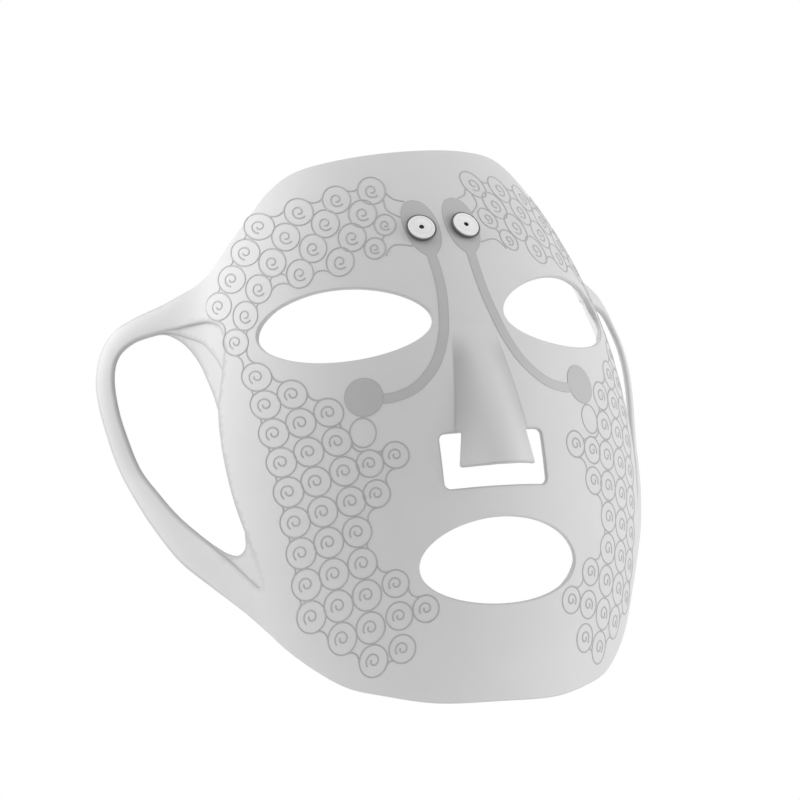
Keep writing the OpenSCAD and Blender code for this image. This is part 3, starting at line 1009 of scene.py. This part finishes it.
forehead_cells = [
    (radius_at(z) * math.radians(turn), z, *size)
    for turn, z, *size in cells_of(forehead_columns, forehead_step)
]
cheek_cells = cells_of(cheek_columns, cheek_step)
plain_ring = oval(51.4, -3.8, 10.4, 11.6, count=40)
plain_ring = np.concatenate([plain_ring, plain_ring[:1]])
passage = bows_between([forehead_cells[-1], cheek_cells[0]])
patch_links = [
    curve(link, steps=6) for link in (
        [(17.3, 93.5), (15.4, 90.6), (11.6, 89)],
        [(19.3, 90.7), (19.6, 86.1), (15.6, 82.3)],
        [(26.4, 66.4), (23.9, 69.4), (20.8, 70.6), (14.8, 69.2)],
    )
]
zones = {
    "forehead": (forehead_cells, bows_between(forehead_cells) + patch_links),
    "cheek": (cheek_cells, bows_between(cheek_cells) + passage + [plain_ring]),
}
for word, side in sides.items():
    for zone, (cells, lines) in zones.items():
        values = {"Line": line_r * MM, "Sunk": line_sunk * MM, "Side": float(side), "Curl": curl_end}
        rings = made_by(
            cell_tree, f"{zone}_cells_{word}", cell_mesh(f"{zone}_cells", cells, lines),
            {cell_sockets[name]: value for name, value in values.items()},
        )
        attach(rings, "mask")
        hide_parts(f"{zone}_rings_{word}")

# The snap terminals: turned white plastic caps in a collar, each with a small sleeved socket for a lead.
# The collar's dark colour is painted shade, the shadow round each cap; sleeve and contact share that dark
# rubber. A rivet through both skins holds each one, with a washer at the back.
graph, shade = new_material("cap_plastic", IOR=1.6)
haze = noise(graph, 0.002)
cap_finish = shade(
    Base_Color=between(graph, haze, (0.96, 0.96, 0.96), (0.99, 0.99, 0.99)),
    Roughness=0.25 + 0.12 * haze,
    Normal=bump(graph, noise(graph, 0.0004), 0.00003, 0.3),
)
# Dark rubber for the socket; on the collar it is painted shade for the cap's shadow.
graph, shade = new_material("socket_rubber_and_painted_shade", IOR=1.45)
rub = noise(graph, 0.001)
painted_collar_shade_and_socket = shade(
    Base_Color=between(graph, rub, (0.10, 0.10, 0.10), (0.15, 0.15, 0.15)),
    Roughness=0.5 + 0.2 * rub,
    Normal=bump(graph, rub, 0.00004, 0.4),
)
cap_profile = [
    (1.32, 0.86), (1.32, 1.7), (1.0, 1.74), (1.0, 1.92), (1.1, 2.0), (3.5, 2.02), (3.7, 1.95), (3.95, 1.95),
    (4.15, 2.02), (5.0, 2.0), (5.28, 1.92), (5.4, 1.75), (5.4, 0.86)
]
collar_profile = [
    (1.95, 0.2), (1.95, 0.84), (5.44, 0.84), (5.46, 1.6), (5.6, 1.74), (5.9, 1.72), (6.08, 1.55), (6.12, 1.3),
    (5.75, 0.35), (5.65, 0.2)
]
sleeve_profile = [(1.0, 0.82), (1.0, 1.66), (1.28, 1.66), (1.28, 0.82)]
turned_sharp = 35


def lathed(name, profile, material, place, side, count=64):
    """A turned piece that stands on the sheet: a closed profile of radius and height, all the way round."""
    spot = on_sheet([place])
    axis = facing(spot[:, 0], spot[:, 1])[0]
    foot_place = outer_face(spot[:, 0], spot[:, 1])[0]
    across = np.cross(axis, (0, 0, 1))
    across /= np.linalg.norm(across)
    upward = np.cross(axis, across)
    places, faces = [], []
    rows = len(profile)
    for k in range(count):
        a = 2 * math.pi * k / count
        spoke = math.cos(a) * across + math.sin(a) * upward
        places += [(foot_place + spoke * r + axis * h) * [side, 1, 1] for r, h in profile]
        ahead = (k + 1) % count * rows
        for i in range(rows):
            j = (i + 1) % rows
            quad = (k * rows + i, ahead + i, ahead + j, k * rows + j)
            faces.append(quad[::-1] if side > 0 else quad)
    return add_piece(name, places, faces, material, turned_sharp)


graph, shade = new_material("rivet_steel", Metallic=1.0)
turning = noise(graph, 0.0006)
steel_finish = shade(
    Base_Color=between(graph, turning, (0.55, 0.55, 0.56), (0.66, 0.66, 0.67)),
    Roughness=0.28 + 0.14 * turning,
    Normal=bump(graph, turning, 0.00003, 0.3),
)
for word, side in sides.items():
    cap = lathed(f"snap_cap_{word}", cap_profile, cap_finish, terminal_place, side)
    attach(cap, "mask")
    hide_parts(f"terminal_disc_{word}")
    for place, profile in (("collar", collar_profile), ("sleeve", sleeve_profile)):
        ring_piece = lathed(f"snap_{place}_{word}", profile, painted_collar_shade_and_socket, terminal_place, side)
        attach(ring_piece, "mask")
    dress(f"terminal_contact_{word}", painted_collar_shade_and_socket)
    dress(f"terminal_rivet_{word}", steel_finish)
    dress(f"backing_washer_{word}", steel_finish)

# The stage: a pale floor well below the mask, soft light from all round, and the photographer's view.
# The camera looks up a little from the wearer's right, and is rolled the way the picture was taken.
floor_z = -0.30
floor_half = 4.0
graph, shade = new_material("floor_white", Specular_IOR_Level=0.2)
floor_finish = shade(
    Base_Color=between(graph, noise(graph, 0.3), (0.86, 0.86, 0.86), (0.88, 0.88, 0.88)),
    Roughness=0.7 + 0.1 * noise(graph, 0.05),
)
corners = [(-1, -1), (1, -1), (1, 1), (-1, 1)]
floor_places = np.array([(x * floor_half, y * floor_half, floor_z) for x, y in corners]) / MM
floor = add_piece("floor", floor_places, [(0, 1, 2, 3)], floor_finish)

world = bpy.data.worlds.new("studio")
world.use_nodes = True
world.node_tree.nodes.clear()
bpy.context.scene.world = world
graph = Graph(world.node_tree)
path = graph.node("ShaderNodeLightPath")
seen = path["Is Camera Ray"].sum(
    "MAXIMUM", path["Is Camera Ray"],
    path["Is Camera Ray"].sum("MAXIMUM", path["Is Glossy Ray"], path["Is Transmission Ray"]),
)
dome_strength = 0.4
strength = dome_strength + (1 - dome_strength) * seen
light = graph.node("ShaderNodeBackground", {}, {"Color": (1, 1, 1, 1), "Strength": strength})
graph.node("ShaderNodeOutputWorld", {}, {"Surface": light["Background"]})

lamp_size = 0.8
lamp_distance = 1.2


def add_light(name, azimuth, elevation, power):
    """A square soft light that faces the mask."""
    a, e = math.radians(azimuth), math.radians(elevation)
    towards = Vector((math.sin(a) * math.cos(e), -math.cos(a) * math.cos(e), math.sin(e)))
    lamp = bpy.data.lights.new(name, "AREA")
    lamp.shape = "SQUARE"
    lamp.size = lamp_size
    lamp.energy = power
    holder = bpy.data.objects.new(name, lamp)
    holder.location = towards * lamp_distance
    holder.rotation_mode = "QUATERNION"
    holder.rotation_quaternion = (-towards).to_track_quat("-Z", "Y")
    bpy.context.scene.collection.objects.link(holder)


add_light("key", 60, 5, 5)
add_light("above", 60, 60, 1.5)
add_light("left_above", -90, 45, 3.8)
add_light("left_high", -125, 50, 6)
add_light("left_behind", -126, 15, 3.6)

view_azimuth = math.radians(-26.07)
view_elevation = math.radians(-12.23)
view_roll = math.radians(9.4)
view_scale = 0.3104
view_shift = (3.3, 27.2)
view_distance = 0.6
back = Vector((
    math.sin(view_azimuth) * math.cos(view_elevation),
    -math.cos(view_azimuth) * math.cos(view_elevation),
    math.sin(view_elevation),
))
level_right = Vector((math.cos(view_azimuth), math.sin(view_azimuth), 0))
level_up = back.cross(level_right)
right = level_right * math.cos(view_roll) - level_up * math.sin(view_roll)
up = level_right * math.sin(view_roll) + level_up * math.cos(view_roll)
aim = (right * view_shift[0] + up * view_shift[1]) * MM
camera_data = bpy.data.cameras.new("camera")
camera_data.type = "ORTHO"
camera_data.ortho_scale = view_scale
camera = bpy.data.objects.new("camera", camera_data)
turn = Matrix((right, up, back)).transposed().to_4x4()
camera.matrix_world = Matrix.Translation(aim + back * view_distance) @ turn
bpy.context.scene.collection.objects.link(camera)
bpy.context.scene.camera = camera
bpy.context.scene.view_settings.view_transform = "Standard"
